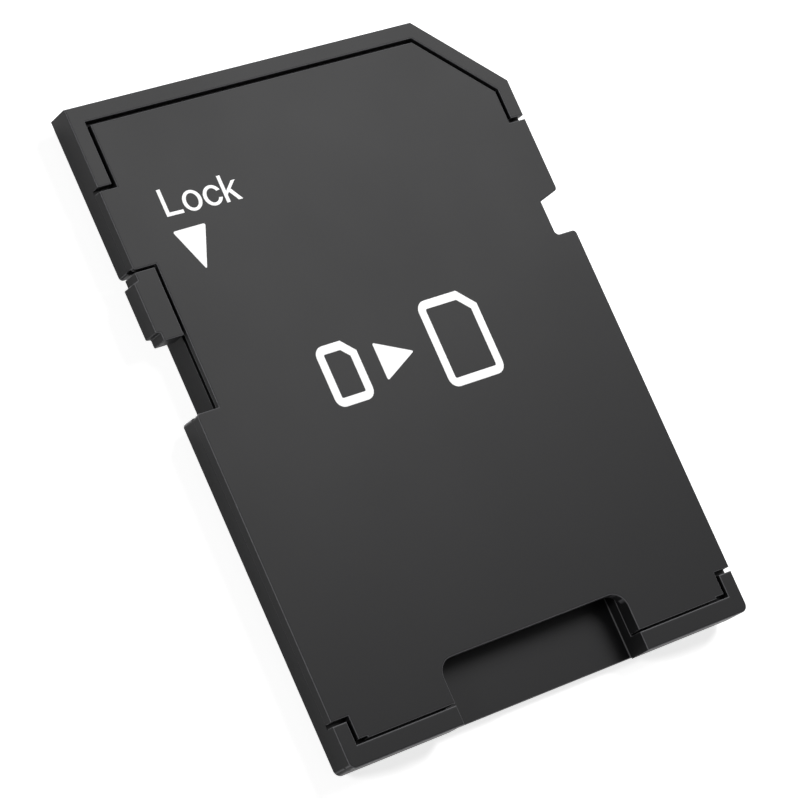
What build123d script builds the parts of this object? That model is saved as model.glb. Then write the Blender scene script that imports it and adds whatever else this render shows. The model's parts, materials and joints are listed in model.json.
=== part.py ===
from build123d import *
from math import sqrt
import os

os.makedirs("parts", exist_ok=True)

# Memory card adapter, in millimetres
# The origin is the centre of the underside. +Y points to the contact end, +Z to the label side,
# and the lock slider is on the -X side.

# Outer form of a full-size memory card
width = 24.0
length = 32.0
thickness = 2.1
edge_thickness = 1.4
rail_width = 0.75
plateau_rear_setback = 0.08
corner_cut = 4.0
cut_corner_radius = 0.15
front_corner_radius = 0.35
rear_corner_radius = 0.36
plateau_chamfer = 0.15
rib_nose_chamfer = 0.3
edge_round = 0.06
slot_floor_radius = 0.08

# Where the two shells part, seen as a groove on the label side
cover_thickness = 0.5
rim_width = 0.78
rear_rim_width = 0.93
groove_width = 0.2
rear_groove_width = 0.1
corner_relief_length = 0.5
corner_relief_depth = 0.1
left_rim_length = 3.86
right_rim_length = 5.88
rear_rim_length = 2.04

# Slot for the small memory card, which lies contacts down on the floor
floor_thickness = 0.65
small_card_thickness = 0.7
contact_end_length = 16.4
slot_width = 11.1
slot_wall = 1.0
slot_key_step = 1.3
slot_wide_length = 8.6
slot_key_slope = 1.0
thumb_cutout_length = 3.03
thumb_cutout_radius = 0.8
skirt_width = 0.7
skirt_height = 0.28
skirt_clearance = 0.1
land_chamfer = 0.04
guide_rib_width = 0.6
guide_rib_spacing = 3.7
guide_rib_end_gap = 1.1
guide_rib_clearance = 0.05

# Lock slider and its recess in the left edge
recess_rear_from_front = 14.98
recess_length = 7.04
recess_depth = 1.25
recess_wall_depth = 1.38
recess_corner_radius = 0.2
tongue_slot_drop = 0.7
tongue_slot_height = 0.43
tongue_slot_depth = 2.4
tongue_slot_overrun = 0.12
slider_length = 3.34
slider_height = 1.05
slider_end_gap = 0.12
slider_lip_gap = 0.19
grip_length = 2.52
grip_projection = 0.25
grip_end_taper = 0.04
slider_edge_round = 0.06
tongue_clearance = 0.05
tongue_end_inset = 0.3
tongue_tip_gap = 0.15

# Retention notch in the right edge, with its slanted front flank
notch_rear_from_front = 12.015
notch_depth = 1.22
notch_length = 1.79
notch_flank_rise = 0.286
notch_inner_radius = 0.25
notch_outer_radius = 0.2

# Contact pads and the channels that the reader's springs run in
first_pad_margin = 2.43
last_pad_margin = 2.44
even_pad_count = 6
pad_7_pitch = 2.43
pad_8_pitch = 1.7
channel_rib_width = 0.8
channel_width_9 = 1.4
channel_width_7 = 1.3
channel_width_8 = 1.1
pad_side_lap = 0.15
pad_wall_gap = 0.05
pad_front_margin = 1.4
pad_length = 3.7
pad_9_setback = 2.75
channel_rear_lap = 0.2

# Stamped leads and their spring beams
strip_thickness = 0.15
run_width = 0.5
fan_start_gap = 0.3
beam_root_gap = 1.4
fan_end_gap = 2.8
small_contact_count = 8
small_row_margin = 1.05
beam_width = 0.6
beam_drop = 0.225
beam_ramp_start = 0.95
beam_ramp_end = 0.55
beam_flat_end = -0.5
bump_distance = 2.7
bump_rise = 0.25
tip_distance = 3.5
tip_drop = 0.25
beam_bend_radius = 0.2
bump_radius = 0.4
spring_pocket_depth = 0.4
spring_pocket_width = 0.8
spring_pocket_front_gap = 1.1
spring_pocket_rear_gap = 4.3
bridge_height = 0.4
bridge_width = 0.6

# Insulating plate that holds the leads
cavity_wall = 1.13
cavity_left_step = 6.8
cavity_right_step = 8.8
cavity_left_wall = 2.7
cavity_right_wall = 1.9
carrier_clearance = 0.1
carrier_thickness = 0.7
carrier_rib_length = 12.8
carrier_rib_width = 0.8
carrier_rib_top_gap = 0.05
peg_front_gap = 3.4
peg_radius = 0.6
peg_clearance = 0.05
peg_height = 0.6

# Chambers beside the slot, and the pins that join the shells
chamber_front_gap = 2.0
chamber_rear_margin = 2.7
pin_x = 8.3
pin_front_gap = 1.0
pin_rear_margin = 1.75
pin_radius = 0.4
pin_length = 0.55
pin_clearance = 0.05

# Leaf spring that holds the small card by its side notch
retainer_thickness = 0.15
retainer_height = 0.55
retainer_floor_gap = 0.1
retainer_wall_gap = 0.5
retainer_anchor_length = 0.7
retainer_anchor_clearance = 0.01
retainer_rear_gap = 0.85
retainer_bump_reach = 0.4
retainer_bump_half = 0.2
retainer_bump_share = 0.175
retainer_tail = 0.8
retainer_bend_radius = 0.3
retainer_window_margin = 0.35

# Heights and places that follow from the sizes above
front_y = length / 2
rear_y = -length / 2
side_x = width / 2
step_height = thickness - edge_thickness
seam_z = thickness - cover_thickness
slot_length = length - contact_end_length
slot_end_y = rear_y + slot_length
slot_half = slot_width / 2
slot_front_width = slot_width - slot_key_step
slot_front_length = slot_length - slot_wide_length - slot_key_slope
card_top_z = floor_thickness + small_card_thickness
cover_inset = rim_width + groove_width
cover_rear_inset = rear_rim_width + rear_groove_width
pad_rear_y = front_y - pad_front_margin - pad_length
recess_rear_y = front_y - recess_rear_from_front
recess_front_y = recess_rear_y + recess_length
recess_mid_y = (recess_rear_y + recess_front_y) / 2
slider_front_y = recess_front_y - slider_end_gap
slider_mid_y = slider_front_y - slider_length / 2
tongue_slot_bottom = thickness - tongue_slot_drop
tongue_slot_top = tongue_slot_bottom + tongue_slot_height
slider_travel = recess_length - slider_length - 2 * slider_end_gap
slider_inner_x = -side_x + recess_depth - slider_lip_gap
notch_rear_y = front_y - notch_rear_from_front
chamber_inner_x = slot_half + slot_wall
chamber_outer_x = side_x - cavity_wall
chamber_front_y = slot_end_y - chamber_front_gap
chamber_rear_y = rear_y + chamber_rear_margin
retainer_x = chamber_inner_x + retainer_wall_gap
retainer_bump_run = retainer_bump_share * (chamber_front_y - chamber_rear_y)
retainer_bump_end = retainer_bump_half + retainer_bump_run
retainer_bump_height = slot_wall + retainer_wall_gap + retainer_bump_reach
retainer_ramp_in_wall = retainer_bump_run * (1 - retainer_wall_gap / retainer_bump_height)
retainer_window_length = 2 * (retainer_bump_half + retainer_ramp_in_wall + retainer_window_margin)
retainer_bump_y = chamber_rear_y + retainer_rear_gap + retainer_tail + retainer_bump_end
peg_x = (slot_half + side_x - cavity_left_wall) / 2
peg_y = slot_end_y + peg_front_gap
small_row_x = slot_front_width / 2 - slot_half
small_contact_pitch = (slot_front_width - 2 * small_row_margin) / (small_contact_count - 1)
beyond = 1.0

# Pads 9 and 1 to 6 share the width evenly, and pads 7 and 8 stand closer
even_pad_run = width - first_pad_margin - last_pad_margin - pad_7_pitch - pad_8_pitch
pad_pitch = even_pad_run / even_pad_count
channel_width = pad_pitch - channel_rib_width
pad_x = {9: side_x - first_pad_margin}
pad_x[1] = pad_x[9] - pad_pitch
for number in range(2, even_pad_count + 1):
    pad_x[number] = pad_x[number - 1] - pad_pitch
pad_x[7] = pad_x[6] - pad_7_pitch
pad_x[8] = pad_x[7] - pad_8_pitch
channel_widths = {number: channel_width for number in range(1, 7)}
channel_widths.update({7: channel_width_7, 8: channel_width_8, 9: channel_width_9})


def pad_rear(number):
    """Rear end of a pad. Pad 9 sits further back, beside the cut corner."""
    return pad_rear_y - (pad_9_setback if number == 9 else 0)


def small_contact_x(number):
    """Middle of the spring beam that meets one contact of the small card."""
    return small_row_x + small_contact_pitch * ((small_contact_count + 1) / 2 - number)


def card_outline(inset=0.0, rear_inset=0.0, round_corners=False):
    """The card seen from the label side, or the same outline drawn further in."""
    half = side_x - inset
    front = front_y - inset
    rear = rear_y + rear_inset
    cut = corner_cut - inset * (2 - sqrt(2))
    with BuildSketch() as outline:
        with BuildLine():
            Polyline(
                (-half, rear),
                (half, rear),
                (half, front - cut),
                (half - cut, front),
                (-half, front),
                close=True,
            )
        make_face()
        if round_corners:
            corners = outline.vertices()
            fillet(corners.group_by(Axis.Y)[0], rear_corner_radius)
            fillet(corners.group_by(Axis.X)[0].sort_by(Axis.Y)[-1], front_corner_radius)
            fillet(corners.group_by(Axis.X)[-1].sort_by(Axis.Y)[-1], cut_corner_radius)
            fillet(corners.group_by(Axis.Y)[-1].sort_by(Axis.X)[-1], cut_corner_radius)
    return outline.sketch


def notch_outline():
    """Retention notch: square rear flank, slanted front flank, rounded inner rear corner."""
    inner = side_x - notch_depth
    outer = side_x + beyond
    front = notch_rear_y + notch_length
    with BuildSketch() as notch:
        with BuildLine():
            Polyline(
                (outer, notch_rear_y),
                (inner, notch_rear_y),
                (inner, front),
                (outer, front + notch_flank_rise * (notch_depth + beyond)),
                close=True,
            )
        make_face()
        rear_corner = notch.vertices().group_by(Axis.X)[0].sort_by(Axis.Y)[0]
        fillet(rear_corner, notch_inner_radius)
    return notch.sketch


def slot_outline():
    """Slot for the small card, narrower at the front right so that it goes in one way round."""
    front_right = -slot_half + slot_front_width
    key_y = slot_end_y - slot_front_length
    with BuildSketch() as slot:
        with BuildLine():
            Polyline(
                (-slot_half, rear_y - beyond),
                (slot_half, rear_y - beyond),
                (slot_half, key_y - slot_key_slope),
                (front_right, key_y),
                (front_right, slot_end_y + carrier_clearance),
                (-slot_half, slot_end_y + carrier_clearance),
                close=True,
            )
        make_face()
    return slot.sketch


def cavity_outline(clearance=0.0):
    """Room for the contact carrier, stepped in where the lock recess and the notch need the wall."""
    left = side_x - cavity_left_wall - clearance
    right = side_x - cavity_right_wall - clearance
    rear = slot_end_y + clearance
    with BuildSketch() as cavity:
        with Locations(((right - left) / 2, rear)):
            Rectangle(left + right, front_y - rear, align=(Align.CENTER, Align.MIN))
        with Locations((0, front_y - cavity_left_step + clearance)):
            Rectangle(side_x, cavity_left_step, align=(Align.MAX, Align.MIN))
        with Locations((0, front_y - cavity_right_step + clearance)):
            Rectangle(side_x, cavity_right_step, align=(Align.MIN, Align.MIN))
        add(card_outline(cavity_wall + clearance), mode=Mode.INTERSECT)
    return cavity.sketch


def between_rims(clearance=0.0):
    """The two side strips that the rims leave free, where the cover reaches the side edges."""
    rear = rear_y + rear_rim_length + clearance
    left_length = front_y - left_rim_length - clearance - rear
    right_length = front_y - right_rim_length - clearance - rear
    with BuildSketch() as strips:
        with Locations((0, rear)):
            Rectangle(side_x, left_length, align=(Align.MAX, Align.MIN))
            Rectangle(side_x, right_length, align=(Align.MIN, Align.MIN))
    return strips.sketch


def tongue_slot_outline():
    """Slot behind the lock recess that the slider's tongue runs in."""
    with BuildSketch() as tongue_slot:
        with Locations((-side_x, recess_mid_y)):
            Rectangle(
                tongue_slot_depth,
                recess_length + 2 * tongue_slot_overrun,
                align=(Align.MIN, Align.CENTER),
            )
    return tongue_slot.sketch


def vertical_edges(part, x, y, reach=0.02):
    """Upright edges of a part that stand at one place."""
    return part.edges().filter_by(Axis.Z).filter_by(
        lambda edge: abs(edge.center().X - x) < reach and abs(edge.center().Y - y) < reach
    )


def side_cuts_outline(recess_inner_x):
    """Lock recess, as far in as one shell has it, and the notch."""
    with BuildSketch() as cuts:
        with Locations((-side_x - beyond, recess_mid_y)):
            Rectangle(side_x + beyond + recess_inner_x, recess_length, align=(Align.MIN, Align.CENTER))
        add(notch_outline())
    return cuts.sketch


def slot_side_edges(part, z, reach=0.02):
    """Edges that run along both side walls of the slot at one height, behind its key slope."""
    slope_y = slot_end_y - slot_front_length - slot_key_slope
    level_edges = part.edges().filter_by(Axis.Y).filter_by(lambda edge: abs(edge.center().Z - z) < reach)
    return level_edges.filter_by(
        lambda edge: abs(abs(edge.center().X) - slot_half) < reach and edge.center().Y < slope_y
    )


def side_corner_edges(part):
    """Upright outer edges of the notch."""
    flank_y = notch_rear_y + notch_length + notch_flank_rise * notch_depth
    return vertical_edges(part, side_x, notch_rear_y) + vertical_edges(part, side_x, flank_y)


def recess_corner_edges(part):
    """Upright outer edges at both ends of the lock recess."""
    return vertical_edges(part, -side_x, recess_front_y) + vertical_edges(part, -side_x, recess_rear_y)


# Stamped contact leads
# Each lead is one strip: the pad that the reader touches, a flat run that fans in towards the
# small card, and a sprung beam that bends down into its pocket and rises to a contact bump.
def contact_lead(label, pads, contact):
    """One lead, from its pad or pads to the beam under one contact of the small card."""
    start_x = pad_x[pads[-1]]
    beam_x = small_contact_x(contact)
    root_y = slot_end_y + beam_root_gap
    strip_z = floor_thickness + strip_thickness / 2
    with BuildPart() as lead:
        with BuildSketch(Plane.XY.offset(floor_thickness)):
            for pad in pads:
                with Locations((pad_x[pad], pad_rear(pad) + pad_length / 2)):
                    Rectangle(channel_widths[pad] + 2 * pad_side_lap, pad_length)
            add(card_outline(cavity_wall + pad_wall_gap), mode=Mode.INTERSECT)
            with BuildLine():
                Polyline(
                    (start_x, pad_rear(pads[-1]) + run_width),
                    (start_x, pad_rear_y - fan_start_gap - (pad_9_setback if pads[-1] == 9 else 0)),
                    (beam_x, slot_end_y + fan_end_gap),
                    (beam_x, root_y),
                )
            trace(line_width=run_width)
        extrude(amount=strip_thickness)
        with BuildSketch(Plane.YZ.offset(beam_x)):
            with BuildLine():
                FilletPolyline(
                    (root_y + run_width, strip_z),
                    (slot_end_y + beam_ramp_start, strip_z),
                    (slot_end_y + beam_ramp_end, strip_z - beam_drop),
                    (slot_end_y + beam_flat_end, strip_z - beam_drop),
                    (slot_end_y - bump_distance, strip_z + bump_rise),
                    (slot_end_y - tip_distance, strip_z - tip_drop),
                    radius=(beam_bend_radius, beam_bend_radius, beam_bend_radius, bump_radius),
                )
            trace(line_width=strip_thickness)
        extrude(amount=beam_width / 2, both=True)
        if len(pads) > 1:
            bridge_y = pad_rear_y - bridge_width / 2
            bridge_z = floor_thickness + strip_thickness + bridge_height
            far_x = pad_x[pads[0]] + strip_thickness / 2
            near_x = start_x - strip_thickness / 2
            with BuildSketch(Plane.XZ.offset(-bridge_y)):
                with BuildLine():
                    Polyline(
                        (far_x, floor_thickness),
                        (far_x, bridge_z),
                        (near_x, bridge_z),
                        (near_x, floor_thickness),
                    )
                trace(line_width=strip_thickness)
            extrude(amount=bridge_width / 2, both=True)
            with BuildSketch(Plane.XY.offset(floor_thickness)):
                with Locations((pad_x[pads[0]], pad_rear_y + run_width)):
                    Rectangle(run_width, run_width + bridge_width, align=(Align.CENTER, Align.MAX))
            extrude(amount=strip_thickness)
    lead.part.label = label
    return lead.part


leads = [
    contact_lead("contact_dat2", [9], 1),
    contact_lead("contact_dat3", [1], 2),
    contact_lead("contact_command", [2], 3),
    contact_lead("contact_ground", [3, 6], 6),
    contact_lead("contact_power", [4], 4),
    contact_lead("contact_clock", [5], 5),
    contact_lead("contact_dat0", [7], 7),
    contact_lead("contact_dat1", [8], 8),
]

# Contact carrier
# A plate moulded round the leads. Low ribs reach up to the cover, and its rear face stops the card.
with BuildPart() as contact_carrier:
    with BuildSketch(Plane.XY.offset(floor_thickness)):
        add(cavity_outline(carrier_clearance))
    extrude(amount=carrier_thickness)
    with BuildSketch(Plane.XY.offset(floor_thickness + carrier_thickness)):
        with Locations((0, slot_end_y + carrier_clearance)):
            Rectangle(carrier_rib_length, carrier_rib_width, align=(Align.CENTER, Align.MIN))
        with Locations((0, pad_rear_y)):
            Rectangle(carrier_rib_length, carrier_rib_width)
    extrude(amount=seam_z - floor_thickness - carrier_thickness - carrier_rib_top_gap)
    with BuildSketch(Plane.XY.offset(floor_thickness)):
        with Locations((-peg_x, peg_y), (peg_x, peg_y)):
            Circle(peg_radius + peg_clearance)
    extrude(amount=carrier_thickness, mode=Mode.SUBTRACT)
    for lead in leads:
        add(lead, mode=Mode.SUBTRACT)
contact_carrier.part.label = "contact_carrier"

# Bottom shell
# The contact side: a plateau between two guide rails, the card slot and the rims that frame the cover.
with BuildPart() as bottom_shell:
    with BuildSketch():
        with Locations((0, rear_y + plateau_rear_setback)):
            Rectangle(width - 2 * rail_width, length, align=(Align.CENTER, Align.MIN))
        add(card_outline(), mode=Mode.INTERSECT)
    extrude(amount=step_height)
    under_edges = bottom_shell.edges().group_by(Axis.Z)[0]
    nose_edges = under_edges.filter_by(lambda edge: edge.center().Y > front_y - corner_cut)
    chamfer(nose_edges, rib_nose_chamfer)
    side_edges = bottom_shell.edges().group_by(Axis.Z)[0].filter_by(
        lambda edge: edge.center().Y < front_y - corner_cut
    )
    chamfer(side_edges, plateau_chamfer)
    with BuildSketch(Plane.XY.offset(step_height)):
        add(card_outline(round_corners=True))
    extrude(amount=seam_z - step_height)

    # Rims that stand up round the cover at the front and at the rear
    with BuildSketch(Plane.XY.offset(seam_z)):
        add(card_outline(round_corners=True))
        add(card_outline(rim_width, rear_rim_width), mode=Mode.SUBTRACT)
        add(between_rims(), mode=Mode.SUBTRACT)
    extrude(amount=cover_thickness)

    # Slot for the small card, room for the carrier and chambers beside the slot
    with BuildSketch(Plane.XY.offset(floor_thickness)):
        add(slot_outline())
    extrude(amount=thickness, mode=Mode.SUBTRACT)
    with BuildSketch(Plane.XY.offset(floor_thickness)):
        add(cavity_outline())
        with Locations((0, (chamber_front_y + chamber_rear_y) / 2)):
            with GridLocations(chamber_inner_x + chamber_outer_x, 0, 2, 1):
                Rectangle(chamber_outer_x - chamber_inner_x, chamber_front_y - chamber_rear_y)
    extrude(amount=seam_z - floor_thickness, mode=Mode.SUBTRACT)

    # Land for the cover's skirts along both sides of the slot
    with BuildSketch(Plane.XY.offset(seam_z - skirt_height)):
        for side, outward in ((-1, Align.MAX), (1, Align.MIN)):
            with Locations((side * slot_half, rear_y + rear_rim_width)):
                Rectangle(
                    skirt_width + skirt_clearance,
                    slot_length - rear_rim_width,
                    align=(outward, Align.MIN),
                )
    extrude(amount=skirt_height, mode=Mode.SUBTRACT)
    chamfer(slot_side_edges(bottom_shell, seam_z - skirt_height), land_chamfer)
    fillet(slot_side_edges(bottom_shell, floor_thickness), slot_floor_radius)

    # Channels under the pads, open at the front
    with BuildSketch():
        for number, x in pad_x.items():
            with Locations((x, pad_rear(number) - channel_rear_lap)):
                Rectangle(channel_widths[number], length, align=(Align.CENTER, Align.MIN))
    extrude(amount=floor_thickness, mode=Mode.SUBTRACT)

    # Pockets that the spring beams are pressed down into
    with BuildSketch(Plane.XY.offset(floor_thickness - spring_pocket_depth)):
        for contact in range(1, small_contact_count + 1):
            with Locations((small_contact_x(contact), slot_end_y + spring_pocket_front_gap)):
                Rectangle(
                    spring_pocket_width,
                    spring_pocket_front_gap + spring_pocket_rear_gap,
                    align=(Align.CENTER, Align.MAX),
                )
    extrude(amount=spring_pocket_depth, mode=Mode.SUBTRACT)

    # Pegs that locate the carrier and sockets for the cover's pins
    with BuildSketch(Plane.XY.offset(floor_thickness)):
        with Locations((-peg_x, peg_y), (peg_x, peg_y)):
            Circle(peg_radius)
    extrude(amount=peg_height)
    with BuildSketch(Plane.XY.offset(seam_z)):
        with Locations((0, rear_y + pin_rear_margin), (0, slot_end_y - pin_front_gap)):
            with GridLocations(2 * pin_x, 0, 2, 1):
                Circle(pin_radius + pin_clearance)
    extrude(amount=-pin_length - pin_clearance, mode=Mode.SUBTRACT)

    # Window for the leaf spring's bump and the slit that holds its front end
    with BuildSketch(Plane.XY.offset(floor_thickness)):
        with Locations((slot_half, retainer_bump_y)):
            Rectangle(slot_wall, retainer_window_length, align=(Align.MIN, Align.CENTER))
        with Locations((retainer_x, chamber_front_y)):
            Rectangle(
                retainer_thickness + 2 * retainer_anchor_clearance,
                retainer_anchor_length + retainer_anchor_clearance,
                align=(Align.CENTER, Align.MIN),
            )
    extrude(amount=seam_z - floor_thickness, mode=Mode.SUBTRACT)

    # Lock recess, notch and the slot that the slider's tongue runs in
    with BuildSketch():
        add(side_cuts_outline(-side_x + recess_wall_depth))
    extrude(amount=thickness, mode=Mode.SUBTRACT)
    with BuildSketch(Plane.XY.offset(tongue_slot_bottom)):
        add(tongue_slot_outline())
    extrude(amount=seam_z - tongue_slot_bottom, mode=Mode.SUBTRACT)
    fillet(side_corner_edges(bottom_shell), notch_outer_radius)
    fillet(recess_corner_edges(bottom_shell), recess_corner_radius)
    fillet(bottom_shell.edges().group_by(Axis.Z)[-1], edge_round)
bottom_shell.part.label = "bottom_shell"

# Top cover
# The label side: a plate inside the rims that reaches both side edges between them. Under it are
# skirts and ribs that guide the small card, and pins that seat in the bottom shell.
with BuildPart() as top_cover:
    with BuildSketch(Plane.XY.offset(seam_z)):
        add(card_outline(cover_inset, cover_rear_inset))
        add(between_rims(groove_width))
        add(side_cuts_outline(-side_x + recess_depth), mode=Mode.SUBTRACT)
        with Locations((0, rear_y + cover_rear_inset)):
            with GridLocations(width - 2 * cover_inset, 0, 2, 1):
                Rectangle(2 * corner_relief_length, 2 * corner_relief_depth, mode=Mode.SUBTRACT)
    extrude(amount=cover_thickness)
    with BuildSketch(Plane.XY.offset(seam_z)) as thumb_cutout:
        with Locations((0, rear_y - beyond)):
            Rectangle(slot_width, thumb_cutout_length + beyond, align=(Align.CENTER, Align.MIN))
        fillet(thumb_cutout.vertices().group_by(Axis.Y)[-1], thumb_cutout_radius)
    extrude(amount=cover_thickness, mode=Mode.SUBTRACT)
    fillet(side_corner_edges(top_cover), notch_outer_radius)
    fillet(recess_corner_edges(top_cover), recess_corner_radius)
    fillet(top_cover.faces().sort_by(Axis.Z)[-1].edges(), edge_round)

    # Room for the slider's tongue under the lip of the lock recess
    with BuildSketch(Plane.XY.offset(seam_z)):
        add(tongue_slot_outline())
    extrude(amount=tongue_slot_top - seam_z, mode=Mode.SUBTRACT)

    # Skirts along the slot, ribs over the small card and pins
    with BuildSketch(Plane.XY.offset(seam_z)):
        for side, outward in ((-1, Align.MAX), (1, Align.MIN)):
            with Locations((side * slot_half, rear_y + cover_rear_inset)):
                Rectangle(
                    skirt_width,
                    slot_length - cover_rear_inset - guide_rib_end_gap,
                    align=(outward, Align.MIN),
                )
    extrude(amount=-skirt_height)
    with BuildSketch(Plane.XY.offset(seam_z)):
        rib_rear_y = rear_y + thumb_cutout_length + guide_rib_end_gap
        rib_length = slot_end_y - guide_rib_end_gap - rib_rear_y
        with Locations((0, rib_rear_y + rib_length / 2)):
            with GridLocations(guide_rib_spacing, 0, 3, 1):
                SlotOverall(rib_length, guide_rib_width, rotation=90)
    extrude(amount=card_top_z + guide_rib_clearance - seam_z)
    with BuildSketch(Plane.XY.offset(seam_z)):
        with Locations((0, rear_y + pin_rear_margin), (0, slot_end_y - pin_front_gap)):
            with GridLocations(2 * pin_x, 0, 2, 1):
                Circle(pin_radius)
    extrude(amount=-pin_length)
top_cover.part.label = "top_cover"

# Lock slider
# Its shoulders are flush with the side edge, the grip stands a little proud of it, and a tongue
# in the slot between the two shells holds it in its recess.
with BuildPart() as lock_slider:
    with BuildSketch(Plane.XY.offset(thickness - slider_height)):
        with Locations((slider_inner_x, slider_mid_y)):
            Rectangle(slider_inner_x + side_x, slider_length, align=(Align.MAX, Align.CENTER))
        with BuildLine():
            Polyline(
                (-side_x, slider_mid_y + grip_length / 2),
                (-side_x - grip_projection, slider_mid_y + grip_length / 2 - grip_end_taper),
                (-side_x - grip_projection, slider_mid_y - grip_length / 2 + grip_end_taper),
                (-side_x, slider_mid_y - grip_length / 2),
                close=True,
            )
        make_face()
    extrude(amount=slider_height)
    fillet(lock_slider.edges().filter_by(lambda edge: edge.center().X < slider_inner_x), slider_edge_round)
    with BuildSketch(Plane.XY.offset(tongue_slot_bottom + tongue_clearance)):
        with Locations((-side_x + tongue_slot_depth - tongue_tip_gap, slider_mid_y)):
            Rectangle(
                tongue_slot_depth - tongue_tip_gap - recess_depth + slider_lip_gap + slider_edge_round,
                slider_length - 2 * tongue_end_inset,
                align=(Align.MAX, Align.CENTER),
            )
    extrude(amount=tongue_slot_height - 2 * tongue_clearance)
lock_slider.part.label = "lock_slider"

# Card retainer
# One bent strip on edge: its front end sits in a slit, its bump reaches through the slot's wall.
with BuildPart() as card_retainer:
    bump_x = slot_half - retainer_bump_reach
    with BuildSketch(Plane.XY.offset(floor_thickness + retainer_floor_gap)):
        with BuildLine():
            FilletPolyline(
                (retainer_x, chamber_front_y + retainer_anchor_length),
                (retainer_x, retainer_bump_y + retainer_bump_end),
                (bump_x, retainer_bump_y + retainer_bump_half),
                (bump_x, retainer_bump_y - retainer_bump_half),
                (retainer_x, retainer_bump_y - retainer_bump_end),
                (retainer_x, retainer_bump_y - retainer_bump_end - retainer_tail),
                radius=retainer_bend_radius,
            )
        trace(line_width=retainer_thickness)
    extrude(amount=retainer_height)
card_retainer.part.label = "card_retainer"

shells = [bottom_shell.part, top_cover.part]
small_pieces = [lock_slider.part, contact_carrier.part, card_retainer.part]
for piece in shells + small_pieces + leads:
    export_step(piece, f"parts/{piece.label}.step")
print("slider travel", round(slider_travel, 3), "mm")
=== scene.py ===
# %% [markdown]
# # A memory card adapter, from CAD solids to a finished picture
#
# The adapter is a flat black housing, 24 by 32 by 2.1 mm, that lets a small memory card go into a
# full-size card reader. Its solids come from CAD, so their shapes are final here. What they still
# need is what a mould, a stamping press and a print pad give the real thing: surface, colour and ink.
# The solids are loaded first, because everything else is placed on them.

# %% Load the model
import json
import math

import bpy
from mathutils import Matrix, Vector


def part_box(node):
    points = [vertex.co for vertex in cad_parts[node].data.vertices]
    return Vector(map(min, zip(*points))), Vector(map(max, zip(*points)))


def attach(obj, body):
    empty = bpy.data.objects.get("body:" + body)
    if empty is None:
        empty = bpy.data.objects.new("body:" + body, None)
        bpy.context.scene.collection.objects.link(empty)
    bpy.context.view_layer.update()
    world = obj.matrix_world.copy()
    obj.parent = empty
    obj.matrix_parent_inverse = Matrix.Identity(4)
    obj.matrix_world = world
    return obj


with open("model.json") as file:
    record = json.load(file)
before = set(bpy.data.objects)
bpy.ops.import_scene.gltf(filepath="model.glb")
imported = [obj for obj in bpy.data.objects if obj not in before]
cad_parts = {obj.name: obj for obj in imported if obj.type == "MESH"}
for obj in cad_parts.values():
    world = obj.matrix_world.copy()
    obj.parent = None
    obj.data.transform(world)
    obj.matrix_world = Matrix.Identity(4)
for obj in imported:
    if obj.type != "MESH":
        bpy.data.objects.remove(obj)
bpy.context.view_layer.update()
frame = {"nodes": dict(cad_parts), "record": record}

nodes = frame["nodes"]

# %% [markdown]
# ## Small helpers
#
# Blender works in metres and linear light. People who make such things think in millimetres and in
# screen colours, so both are turned once, here. A third helper adds one shader node, with its
# settings and what feeds it, which keeps the materials below readable from top to bottom.

# %% Units, colours and nodes
MM = 0.001
BLACK_ABS = "1d1d1e"


def linear(hex_colour):
    """Turn a screen colour such as 2b2b2c into the linear values that shaders work in."""
    shares = [int(hex_colour[i:i + 2], 16) / 255 for i in (0, 2, 4)]
    return tuple(s / 12.92 if s <= 0.04045 else ((s + 0.055) / 1.055) ** 2.4 for s in shares) + (1.0,)


def add_node(tree, kind, settings=None, **inputs):
    """Add one node. An input goes by its label, or by i and its number, and is a value or a socket."""
    node = tree.nodes.new(kind)
    for name, value in (settings or {}).items():
        setattr(node, name, value)
    for name, value in inputs.items():
        key = int(name[1:]) if name[1:].isdigit() else name.replace("_", " ")
        if isinstance(value, bpy.types.NodeSocket):
            tree.links.new(value, node.inputs[key])
        else:
            node.inputs[key].default_value = value
    return node


def new_material(name):
    """A material with nothing in it yet, and its tree of nodes."""
    material = bpy.data.materials.new(name)
    material.use_nodes = True
    material.node_tree.nodes.clear()
    return material, material.node_tree


def finish_material(tree, shader):
    """Send a shader to the material's output."""
    add_node(tree, "ShaderNodeOutputMaterial", Surface=shader.outputs[0])


print("black plastic in linear light:", [round(v, 4) for v in linear(BLACK_ABS)[:3]])

# %% [markdown]
# ## The edges of a moulding
#
# No mould edge is truly sharp, and handling polishes what stands out. A Bevel node gives
# a sharp edge its rounding without changing the solid. The same node tells where the edges are. A
# rounded normal that has turned away from the face's own belongs to a sharp edge. All large faces
# look along one of the three axes, or the way the cut corner does, so a normal that leans otherwise
# belongs to an edge that is rounded in the solid. On all these edges the colour is also made lighter:
# a painted highlight, standing in for the thin light lines that lamps draw on rounded edges. Where
# the two shells are welded together no edge stands out, so a band at that height gets neither the
# painted highlight nor the polish. Masks painted as images would do the same, but only for one shape.

# %% Find the edges
EDGE_MM = 0.05
TURNED_FROM, TURNED_FULL = 0.99, 0.9
LEANS_FROM, LEANS_FULL = 0.96, 0.89
CUT_FROM, CUT_FULL = 0.97, 0.98
CUT_CORNER = (math.sqrt(0.5), math.sqrt(0.5), 0.0)


def sharp_edges(tree, normal):
    """1 where the rounded normal has turned away from the face's own, 0 on the open face."""
    face = add_node(tree, "ShaderNodeNewGeometry")
    turned = add_node(tree, "ShaderNodeVectorMath", {"operation": "DOT_PRODUCT"}, i0=normal,
                      i1=face.outputs["True Normal"])
    share = add_node(tree, "ShaderNodeMapRange", Value=turned.outputs["Value"], From_Min=TURNED_FROM,
                     From_Max=TURNED_FULL)
    return share.outputs["Result"]


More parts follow.
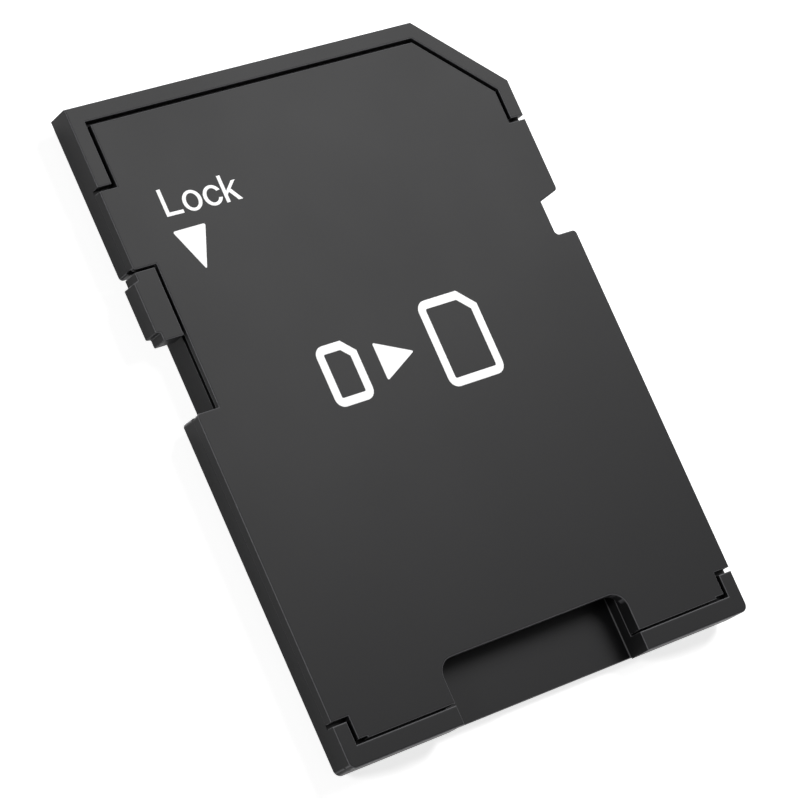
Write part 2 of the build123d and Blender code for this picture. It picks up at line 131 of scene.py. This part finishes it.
def round_edges(tree, normal):
    """1 where the normal leans between the axes, but 0 where it looks the way the cut corner does."""
    shares = add_node(tree, "ShaderNodeVectorMath", {"operation": "ABSOLUTE"}, i0=normal)
    axes = add_node(tree, "ShaderNodeSeparateXYZ", Vector=shares.outputs["Vector"])
    level = add_node(tree, "ShaderNodeMath", {"operation": "MAXIMUM"}, i0=axes.outputs["X"],
                     i1=axes.outputs["Y"])
    along_axis = add_node(tree, "ShaderNodeMath", {"operation": "MAXIMUM"}, i0=level.outputs["Value"],
                          i1=axes.outputs["Z"])
    leaning = add_node(tree, "ShaderNodeMapRange", Value=along_axis.outputs["Value"], From_Min=LEANS_FROM,
                       From_Max=LEANS_FULL)
    cut_way = add_node(tree, "ShaderNodeVectorMath", {"operation": "DOT_PRODUCT"}, i0=normal, i1=CUT_CORNER)
    cut_share = add_node(tree, "ShaderNodeMath", {"operation": "ABSOLUTE"}, i0=cut_way.outputs["Value"])
    not_cut = add_node(tree, "ShaderNodeMapRange", Value=cut_share.outputs["Value"], From_Min=CUT_FULL,
                       From_Max=CUT_FROM)
    round_edge = add_node(tree, "ShaderNodeMath", {"operation": "MULTIPLY"}, i0=leaning.outputs["Result"],
                          i1=not_cut.outputs["Result"])
    return round_edge.outputs["Value"]


print("edges are rounded over", EDGE_MM, "mm")

# %% The welded seam
SEAM_MM = 1.6
SEAM_REACH_MM = 0.08


def all_edges(tree, normal, place, has_seam):
    """1 on every edge, sharp or rounded, but 0 in the band of the welded seam, if there is one."""
    either = add_node(tree, "ShaderNodeMath", {"operation": "MAXIMUM"}, i0=sharp_edges(tree, normal),
                      i1=round_edges(tree, normal))
    if not has_seam:
        return either.outputs["Value"]
    height = add_node(tree, "ShaderNodeSeparateXYZ", Vector=place).outputs["Z"]
    at_seam = add_node(tree, "ShaderNodeMath", {"operation": "COMPARE"}, i0=height, i1=SEAM_MM * MM,
                       i2=SEAM_REACH_MM * MM)
    off_seam = add_node(tree, "ShaderNodeMath", {"operation": "SUBTRACT"}, i0=1.0,
                        i1=at_seam.outputs["Value"])
    edge = add_node(tree, "ShaderNodeMath", {"operation": "MULTIPLY"}, i0=either.outputs["Value"],
                    i1=off_seam.outputs["Value"])
    return edge.outputs["Value"]


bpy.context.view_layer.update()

# %% [markdown]
# ## Moulded ABS for the housing
#
# Both shells and the slider are injection-moulded ABS, coloured black in the granules. The mould
# was spark-eroded very finely, which leaves an even grain that kills any mirror image and gives the
# matte sheen. It could be painted as an image, but a grain that comes from noise in object space has
# no seams and works on every side of every solid. The real grain is about 0.03 mm, finer than a
# pixel here, so it is drawn at 0.08 mm to show at all when one looks close. The melt flowed slowly
# past the cores, which shows as a faint change of gloss every few millimetres. Edges are smoother
# than faces, and their colour is made lighter as a painted highlight.

# %% Moulded ABS
GRAIN_MM = 0.08
FLOW_MM = 6.0
FLOW_CHANGE = 0.012
EDGE_ROUGHNESS = 0.22
# How much lighter the colour is made on the edges: a painted highlight for the lamps' light lines.
EDGE_PAINTED_HIGHLIGHT = 9.0
PLASTIC_IOR = 1.53


def moulded_plastic(name, colour, roughness, gloss, grain_height_mm, has_seam=False):
    """Spark-eroded plastic: an even grain, faint marks of the flow, and smoother edges with a painted
    highlight.
    """
    material, tree = new_material(name)
    place = add_node(tree, "ShaderNodeTexCoord").outputs["Object"]
    grain = add_node(tree, "ShaderNodeTexNoise", Vector=place, Scale=1 / (GRAIN_MM * MM), Detail=3.0,
                     Roughness=0.6)
    flow = add_node(tree, "ShaderNodeTexNoise", Vector=place, Scale=1 / (FLOW_MM * MM), Detail=2.0,
                    Roughness=0.5)
    normal = add_node(tree, "ShaderNodeBevel", {"samples": 8}, Radius=EDGE_MM * MM).outputs["Normal"]
    edge = all_edges(tree, normal, place, has_seam)
    face_rough = add_node(tree, "ShaderNodeMapRange", Value=flow.outputs["Fac"], From_Min=0.3, From_Max=0.7,
                          To_Min=roughness - FLOW_CHANGE, To_Max=roughness + FLOW_CHANGE)
    rough = add_node(tree, "ShaderNodeMapRange", Value=edge, To_Min=face_rough.outputs["Result"],
                     To_Max=EDGE_ROUGHNESS)
    speckle = add_node(tree, "ShaderNodeMapRange", Value=grain.outputs["Fac"], From_Min=0.2, From_Max=0.8,
                       To_Min=0.93, To_Max=1.07)
    # Painted highlight: the colour grows many times lighter on the edges, standing in for lamp lines.
    tint = add_node(tree, "ShaderNodeMath", {"operation": "MULTIPLY_ADD"}, i0=edge, i1=EDGE_PAINTED_HIGHLIGHT,
                    i2=speckle.outputs["Result"])
    shade = add_node(tree, "ShaderNodeVectorMath", {"operation": "SCALE"}, i0=linear(colour)[:3],
                     Scale=tint.outputs["Value"])
    bump = add_node(tree, "ShaderNodeBump", Strength=0.5, Distance=grain_height_mm * MM,
                    Height=grain.outputs["Fac"], Normal=normal)
    plastic = add_node(tree, "ShaderNodeBsdfPrincipled", Base_Color=shade.outputs["Vector"],
                       Roughness=rough.outputs["Result"], Normal=bump.outputs["Normal"],
                       IOR=PLASTIC_IOR, Specular_IOR_Level=gloss)
    finish_material(tree, plastic)
    return material


housing_abs = moulded_plastic("abs_moulded_spark_eroded_black", BLACK_ABS, 0.42, 0.09, 0.004, has_seam=True)
slider_abs = moulded_plastic("abs_moulded_satin_black", "1e1e1f", 0.42, 0.086, 0.003)
print("made", housing_abs.name, "and", slider_abs.name)

# %% [markdown]
# ## Insulator, contacts and spring
#
# Underneath, the reader's springs run on nine gold-plated pads. They are parts of stamped copper
# alloy leads: the rolls and the press leave fine lines along the strip, a few hundredths of a
# millimetre apart, and the plating is thin enough to let them through. The insulator between them
# is a harder black plastic filled with glass, a little greyer and rougher than the housing. The
# leaf spring that holds the small card is rolled stainless steel, with lines along its length. The
# lines could be an anisotropic shader alone, but stretched noise also shows them from close by.

# %% Insulator, gold and steel
CLOUD_MM = 1.5
STAMPED_EDGE_MM = 0.02
LINE_DEPTH_MM = 0.003


def drawn_metal(name, colour, roughness, line_mm, along):
    """Metal strip with fine lines along one direction, given as how much longer than wide they are."""
    material, tree = new_material(name)
    place = add_node(tree, "ShaderNodeTexCoord").outputs["Object"]
    stretch = add_node(tree, "ShaderNodeMapping", Vector=place, Scale=tuple(1 / s for s in along))
    lines = add_node(tree, "ShaderNodeTexNoise", Vector=stretch.outputs["Vector"],
                     Scale=1 / (line_mm * MM), Detail=4.0, Roughness=0.65)
    cloud = add_node(tree, "ShaderNodeTexNoise", Vector=place, Scale=1 / (CLOUD_MM * MM), Detail=3.0)
    rough = add_node(tree, "ShaderNodeMapRange", Value=lines.outputs["Fac"], From_Min=0.3, From_Max=0.7,
                     To_Min=roughness - 0.06, To_Max=roughness + 0.08)
    tint = add_node(tree, "ShaderNodeMapRange", Value=cloud.outputs["Fac"], From_Min=0.3, From_Max=0.7,
                    To_Min=0.92, To_Max=1.0)
    shade = add_node(tree, "ShaderNodeVectorMath", {"operation": "SCALE"}, i0=linear(colour)[:3],
                     Scale=tint.outputs["Result"])
    soft_edge = add_node(tree, "ShaderNodeBevel", {"samples": 4}, Radius=STAMPED_EDGE_MM * MM)
    bump = add_node(tree, "ShaderNodeBump", Strength=0.35, Distance=LINE_DEPTH_MM * MM,
                    Height=lines.outputs["Fac"], Normal=soft_edge.outputs["Normal"])
    metal = add_node(tree, "ShaderNodeBsdfPrincipled", Base_Color=shade.outputs["Vector"], Metallic=1.0,
                     Roughness=rough.outputs["Result"], Normal=bump.outputs["Normal"])
    finish_material(tree, metal)
    return material


carrier_nylon = moulded_plastic("nylon_glass_filled_black", "2a2a2b", 0.58, 0.12, 0.012)
contact_gold = drawn_metal("copper_alloy_stamped_gold_plated", "e2b45a", 0.26, 0.05, (1, 14, 1))
retainer_steel = drawn_metal("stainless_steel_rolled_strip", "b9bbbd", 0.3, 0.04, (1, 14, 14))
print("made", carrier_nylon.name, contact_gold.name, retainer_steel.name)

# %% [markdown]
# ## Dressing the solids
#
# Each CAD solid keeps its shape and only takes a material, chosen from the slot that it has in the
# record. Slots make that one short table instead of thirteen separate lines.

# %% Give every solid its finish
finishes = {
    "housing_plastic": housing_abs,
    "slider_plastic": slider_abs,
    "carrier_plastic": carrier_nylon,
    "contact_metal": contact_gold,
    "spring_steel": retainer_steel,
}
for part in frame["record"]["subparts"]:
    solid = nodes[part["node"]]
    solid.data.materials.clear()
    solid.data.materials.append(finishes[part["material_slot"]])
print("dressed", len(nodes), "solids")

# %% [markdown]
# ## White print on the label side
#
# The marks on the label face are pad-printed: a soft pad lifts ink from an etched plate and lays it
# down about 0.01 mm thick. Ink could be a mask in the shader, but thin solids of ink have true crisp
# edges at any distance, so each mark is one thin piece on the face. Seen close, such ink is a little
# thinner in places, where the pad let go.

# %% Pad-printing ink
INK_IOR = 1.5
INK_BUMP_MM = 0.004


def pad_print_ink(name, colour):
    """White two-part ink: nearly opaque, satin, and a touch thinner here and there."""
    material, tree = new_material(name)
    place = add_node(tree, "ShaderNodeTexCoord").outputs["Object"]
    grain = add_node(tree, "ShaderNodeTexNoise", Vector=place, Scale=1 / (GRAIN_MM * MM), Detail=3.0,
                     Roughness=0.6)
    cover = add_node(tree, "ShaderNodeMapRange", Value=grain.outputs["Fac"], From_Min=0.2, From_Max=0.6,
                     To_Min=0.94, To_Max=1.0)
    shade = add_node(tree, "ShaderNodeVectorMath", {"operation": "SCALE"}, i0=linear(colour)[:3],
                     Scale=cover.outputs["Result"])
    bump = add_node(tree, "ShaderNodeBump", Strength=0.3, Distance=INK_BUMP_MM * MM,
                    Height=grain.outputs["Fac"])
    ink = add_node(tree, "ShaderNodeBsdfPrincipled", Base_Color=shade.outputs["Vector"], Roughness=0.5,
                   Normal=bump.outputs["Normal"], IOR=INK_IOR)
    finish_material(tree, ink)
    return material


white_ink = pad_print_ink("epoxy_ink_pad_printed_white", "fafafa")
print("made", white_ink.name)

# %% A flat mark becomes a layer of ink
INK_MM = 0.01
SUNK_MM = 0.003
MERGE_MM = 0.0005
label_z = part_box("top_cover")[1].z
print("label face at", round(label_z / MM, 3), "mm")


def deselect_all():
    """Leave edit mode and let go of everything, so that an operator only acts on the next piece."""
    if bpy.context.object and bpy.context.object.mode != "OBJECT":
        bpy.ops.object.mode_set(mode="OBJECT")
    bpy.ops.object.select_all(action="DESELECT")


def finish_print(mark, name):
    """Turn the flat mark in hand into a thin layer of ink that starts just under the label face."""
    mark.name = name
    mark.data.name = name
    bpy.ops.object.mode_set(mode="EDIT")
    bpy.ops.mesh.select_all(action="SELECT")
    bpy.ops.mesh.remove_doubles(threshold=MERGE_MM * MM)
    bpy.ops.mesh.normals_make_consistent(inside=False)
    bpy.ops.object.mode_set(mode="OBJECT")
    layer = mark.modifiers.new("ink layer", "SOLIDIFY")
    layer.thickness = (INK_MM + SUNK_MM) * MM
    layer.offset = 0.0
    bpy.ops.object.modifier_apply(modifier=layer.name)
    bpy.ops.object.mode_set(mode="EDIT")
    bpy.ops.mesh.select_all(action="SELECT")
    bpy.ops.transform.translate(value=(0, 0, label_z + (INK_MM - SUNK_MM) / 2 * MM))
    bpy.ops.mesh.normals_make_consistent(inside=False)
    bpy.ops.object.mode_set(mode="OBJECT")
    bpy.ops.object.shade_flat()
    mark.data.materials.clear()
    mark.data.materials.append(white_ink)
    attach(mark, "housing")
    deselect_all()
    print(name, len(mark.data.polygons), "faces")


# %% [markdown]
# ### The word beside the slider
#
# The word tells which way locks. A text object would bring the strokes of its font, so the four
# letters are drawn as a sign painter would, in strokes of about 0.2 mm: straight ones by their
# corners, round ones as an outer and an inner oval. Outlines in a flat curve fill themselves and
# leave their holes open. All places are in millimetres from the middle of the object.

# %% Letter shapes
OVAL_STEPS = 40


def oval(centre, radii, start=0, end=360):
    """Points of an oval in millimetres, from one angle to another in degrees."""
    whole = end - start == 360
    steps = OVAL_STEPS if whole else OVAL_STEPS - 1
    angles = [math.radians(start + (end - start) * i / steps) for i in range(OVAL_STEPS)]
    return [(centre[0] + radii[0] * math.cos(a), centre[1] + radii[1] * math.sin(a)) for a in angles]


LETTER_L = [(-9.23, 11.31), (-9.03, 11.31), (-9.03, 10.15), (-8.28, 10.13), (-8.28, 9.965), (-9.23, 9.985)]
LETTER_K = [(-5.925, 11.21), (-5.735, 11.21), (-5.735, 10.42), (-5.275, 10.84), (-5.05, 10.84),
            (-5.46, 10.475), (-5.03, 9.875), (-5.27, 9.875), (-5.61, 10.345), (-5.735, 10.235),
            (-5.735, 9.875), (-5.925, 9.875)]
O_MIDDLE = (-7.64, 10.417)
C_MIDDLE = (-6.505, 10.387)
outlines = [
    LETTER_L,
    oval(O_MIDDLE, (0.515, 0.507)),
    oval(O_MIDDLE, (0.318, 0.362)),
    oval(C_MIDDLE, (0.51, 0.5), 22, 338) + oval(C_MIDDLE, (0.312, 0.352), 333, 27),
    LETTER_K,
]
print("outlines:", len(outlines), "with", sum(len(outline) for outline in outlines), "points")

# %% Lock word
deselect_all()
sketch = bpy.data.curves.new("lock_word_sketch", "CURVE")
sketch.dimensions = "2D"
sketch.fill_mode = "FRONT"
for outline in outlines:
    line = sketch.splines.new("POLY")
    line.points.add(len(outline) - 1)
    for point, (x, y) in zip(line.points, outline):
        point.co = (x * MM, y * MM, 0, 1)
    line.use_cyclic_u = True
word = bpy.data.objects.new("lock_word_sketch", sketch)
bpy.context.collection.objects.link(word)
bpy.context.view_layer.objects.active = word
word.select_set(True)
bpy.ops.object.convert(target="MESH")
finish_print(bpy.context.object, "print_lock_word")

# %% [markdown]
# ### The triangle under the word
#
# It points where the slider goes to lock. It is a circle of three points, turned tip down, stretched
# into its place, and rounded at the corners as the etched plate is. Typing three corners would be as
# short, but the same few steps then also make the triangle of the sign below.

# %% Lock triangle
TIP_BACK = math.pi
CORNER_STEPS = 4


def fit_into(mark, left, low, right, high):
    """Stretch and move a flat mark until it just fills a box given in millimetres."""
    bpy.ops.object.transform_apply(location=True, rotation=True, scale=True)
    places = [v.co for v in mark.data.vertices]
    x0, x1 = min(p.x for p in places), max(p.x for p in places)
    y0, y1 = min(p.y for p in places), max(p.y for p in places)
    mark.scale = ((right - left) * MM / (x1 - x0), (high - low) * MM / (y1 - y0), 1)
    mark.location = (left * MM - x0 * mark.scale.x, low * MM - y0 * mark.scale.y, 0)
    bpy.ops.object.transform_apply(location=True, rotation=True, scale=True)
    print("drawn", round((x1 - x0) / MM, 2), "by", round((y1 - y0) / MM, 2), "mm, fitted to",
          round(right - left, 2), "by", round(high - low, 2))


def add_triangle(turn, left, low, right, high, corner):
    """A flat triangle that fills a box of millimetres, turned from pointing to +Y, corners rounded."""
    deselect_all()
    bpy.ops.mesh.primitive_circle_add(vertices=3, radius=MM, fill_type="NGON", rotation=(0, 0, turn))
    mark = bpy.context.object
    fit_into(mark, left, low, right, high)
    bpy.ops.object.mode_set(mode="EDIT")
    bpy.ops.mesh.select_all(action="SELECT")
    bpy.ops.mesh.bevel(offset=corner * MM, segments=CORNER_STEPS, affect="VERTICES")
    bpy.ops.object.mode_set(mode="OBJECT")
    return mark


finish_print(add_triangle(TIP_BACK, -9.31, 7.17, -7.48, 9.25, 0.13), "print_lock_triangle")

# %% [markdown]
# ### The sign in the middle
#
# A plain sign says what the part is for: a small card, a triangle, and the full-size card that the
# two make together. Each card is a plate with one corner cut off, rounded, inset by the width of its
# line and opened in the middle. Drawn as outlines, the three marks weigh about as much as bold print.

# %% Card signs
LINE_MM = 0.42
PLATE_STEPS = 5
TIP_RIGHT = -math.pi / 2


def select_points(mark, test):
    """In edit mode, select the vertices whose place passes a test."""
    bpy.ops.mesh.select_all(action="DESELECT")
    bpy.ops.object.mode_set(mode="OBJECT")
    for vertex in mark.data.vertices:
        vertex.select = test(vertex.co)
    bpy.ops.object.mode_set(mode="EDIT")


def add_card_outline(left, low, right, high, cut, corner):
    """The outline of a card in millimetres, its front right corner cut and its others rounded."""
    deselect_all()
    bpy.ops.mesh.primitive_plane_add(size=MM, location=(0, 0, 0))
    mark = bpy.context.object
    fit_into(mark, left, low, right, high)
    middle = Vector(((left + right) / 2, (low + high) / 2, 0)) * MM
    bpy.ops.object.mode_set(mode="EDIT")
    select_points(mark, lambda p: p.x < middle.x or p.y < middle.y)
    bpy.ops.mesh.bevel(offset=corner * MM, segments=PLATE_STEPS, affect="VERTICES")
    select_points(mark, lambda p: p.x > (right - MERGE_MM) * MM and p.y > (high - MERGE_MM) * MM)
    bpy.ops.mesh.bevel(offset=cut * MM, segments=1, affect="VERTICES")
    bpy.ops.mesh.select_all(action="SELECT")
    bpy.ops.mesh.inset(thickness=LINE_MM * MM)
    bpy.ops.mesh.delete(type="FACE")
    bpy.ops.object.mode_set(mode="OBJECT")
    return mark


finish_print(add_card_outline(-4.9, -0.75, -2.7, 2.25, 0.65, 0.48), "print_sign_small_card")
finish_print(add_triangle(TIP_RIGHT, -1.75, -0.2, 0.25, 1.7, 0.12), "print_sign_triangle")
finish_print(add_card_outline(1.4, -1.5, 4.7, 2.86, 0.85, 0.5), "print_sign_full_card")

# %% [markdown]
# ## Floor and room
#
# The object lies on white matte paper in a white room. Both could be made white with strong lamps,
# but then the black plastic would turn grey. So they are white only to the eye and in reflections,
# and no extra light falls on the object for that. The paper keeps the object's faint shadow. Seen
# from below it is clear, and it lets lamplight through, so that the contacts can be looked at.

# %% Floor
FLOOR_M = 3.0
FLOOR_GAP_MM = 0.02
FLOOR_GLOW = 0.77
WHITE = (1, 1, 1, 1)


def seen_directly(tree, path):
    """1 for a ray that comes from the camera, or by way of a reflection or through glass."""
    first = add_node(tree, "ShaderNodeMath", {"operation": "MAXIMUM"}, i0=path.outputs["Is Camera Ray"],
                     i1=path.outputs["Is Glossy Ray"])
    both = add_node(tree, "ShaderNodeMath", {"operation": "MAXIMUM"}, i0=first.outputs["Value"],
                    i1=path.outputs["Is Transmission Ray"])
    return both.outputs["Value"]


def white_paper(name):
    """Matte paper that also glows a little, but only to the eye, and is clear from below."""
    material, tree = new_material(name)
    path = add_node(tree, "ShaderNodeLightPath")
    matte = add_node(tree, "ShaderNodeBsdfDiffuse", Color=linear("f2f2f2"), Roughness=1.0)
    glow = add_node(tree, "ShaderNodeEmission", Color=WHITE, Strength=FLOOR_GLOW)
    bright = add_node(tree, "ShaderNodeAddShader", i0=matte.outputs["BSDF"], i1=glow.outputs["Emission"])
    top = add_node(tree, "ShaderNodeMixShader", Fac=seen_directly(tree, path), i1=matte.outputs["BSDF"],
                   i2=bright.outputs["Shader"])
    under = add_node(tree, "ShaderNodeNewGeometry").outputs["Backfacing"]
    open_to = add_node(tree, "ShaderNodeMath", {"operation": "MAXIMUM"}, i0=under,
                       i1=path.outputs["Is Shadow Ray"])
    clear = add_node(tree, "ShaderNodeBsdfTransparent")
    sheet = add_node(tree, "ShaderNodeMixShader", Fac=open_to.outputs["Value"], i1=top.outputs["Shader"],
                     i2=clear.outputs["BSDF"])
    finish_material(tree, sheet)
    return material


deselect_all()
bpy.ops.mesh.primitive_plane_add(size=FLOOR_M, location=(0, 0, -FLOOR_GAP_MM * MM))
floor = bpy.context.object
floor.name = "floor"
floor.data.materials.append(white_paper("paper_matte_white"))
print("floor", FLOOR_M, "m wide,", FLOOR_GAP_MM, "mm under the object")

# %% Room
ROOM_LIGHT = 0.05

world = bpy.data.worlds.new("white_room")
bpy.context.scene.world = world
world.use_nodes = True
room = world.node_tree
room.nodes.clear()
seen = seen_directly(room, add_node(room, "ShaderNodeLightPath"))
soft = add_node(room, "ShaderNodeBackground", Color=WHITE, Strength=ROOM_LIGHT)
plain = add_node(room, "ShaderNodeBackground", Color=WHITE, Strength=1.0)
walls = add_node(room, "ShaderNodeMixShader", Fac=seen, i1=soft.outputs["Background"],
                 i2=plain.outputs["Background"])
add_node(room, "ShaderNodeOutputWorld", Surface=walls.outputs["Shader"])
print("room light on the object:", ROOM_LIGHT, "and 1.0 to the eye")

# %% [markdown]
# ## Lamps
#
# One soft lamp stands close on the far side, nearly where the label face would mirror it, which
# gives the face its slow fade from light to dark. A second one on the left draws the thin light
# lines along the near edges. A third stands below for whoever looks at the contacts. A sun would
# be simpler, but its light is the same all over, and the face would lose its fade.

# %% Lamps
def add_lamp(name, direction, distance_mm, size_mm, watts):
    """A square soft lamp that looks at the object from a direction."""
    aim = Vector(direction).normalized()
    deselect_all()
    bpy.ops.object.light_add(type="AREA", location=aim * distance_mm * MM)
    lamp = bpy.context.object
    lamp.name = name
    lamp.data.shape = "SQUARE"
    lamp.data.size = size_mm * MM
    lamp.data.energy = watts
    lamp.rotation_euler = aim.to_track_quat("Z", "Y").to_euler()
    print(name, watts, "W at", [round(v, 3) for v in lamp.location])


add_lamp("lamp_far_right", (0.50, 0.34, 0.79), 160, 80, 0.28)
add_lamp("lamp_left", (-0.85, 0.137, 0.52), 300, 50, 0.22)
add_lamp("lamp_below", (0.45, 0.45, -0.77), 300, 120, 0.8)

# %% [markdown]
# ## Camera
#
# The object is a fixed size, so the outline in the picture tells where the camera stood. Its place
# and its three directions come from that fit. They could be turned into angles, but directions fill
# the columns of the camera's matrix as they are.

# %% Camera
CAMERA_MM = (-97.07, -23.81, 134.22)
CAMERA_RIGHT = Vector((0.77328299, -0.40238837, 0.49001736))
CAMERA_DOWN = Vector((-0.25579725, -0.90512112, -0.33959318))
CAMERA_FORWARD = Vector((0.58017341, 0.13725654, -0.80284461))
LENS_MM = 162.55
SENSOR_MM = 36
NEAREST_MM = 10

deselect_all()
bpy.ops.object.camera_add(location=Vector(CAMERA_MM) * MM)
camera = bpy.context.object
camera.name = "camera"
turn = camera.matrix_world.to_3x3()
turn.col[0] = CAMERA_RIGHT
turn.col[1] = -CAMERA_DOWN
turn.col[2] = -CAMERA_FORWARD
camera.rotation_euler = turn.to_euler()
camera.data.lens = LENS_MM
camera.data.sensor_width = SENSOR_MM
camera.data.clip_start = NEAREST_MM * MM
bpy.context.scene.camera = camera
bpy.context.scene.view_settings.view_transform = "Standard"
print("camera", round(camera.location.length / MM), "mm from the object, lens", LENS_MM, "mm")

# %% [markdown]
# ## Finishing
#
# Dressing must not change the size of the part.

# %% Finish
deselect_all()
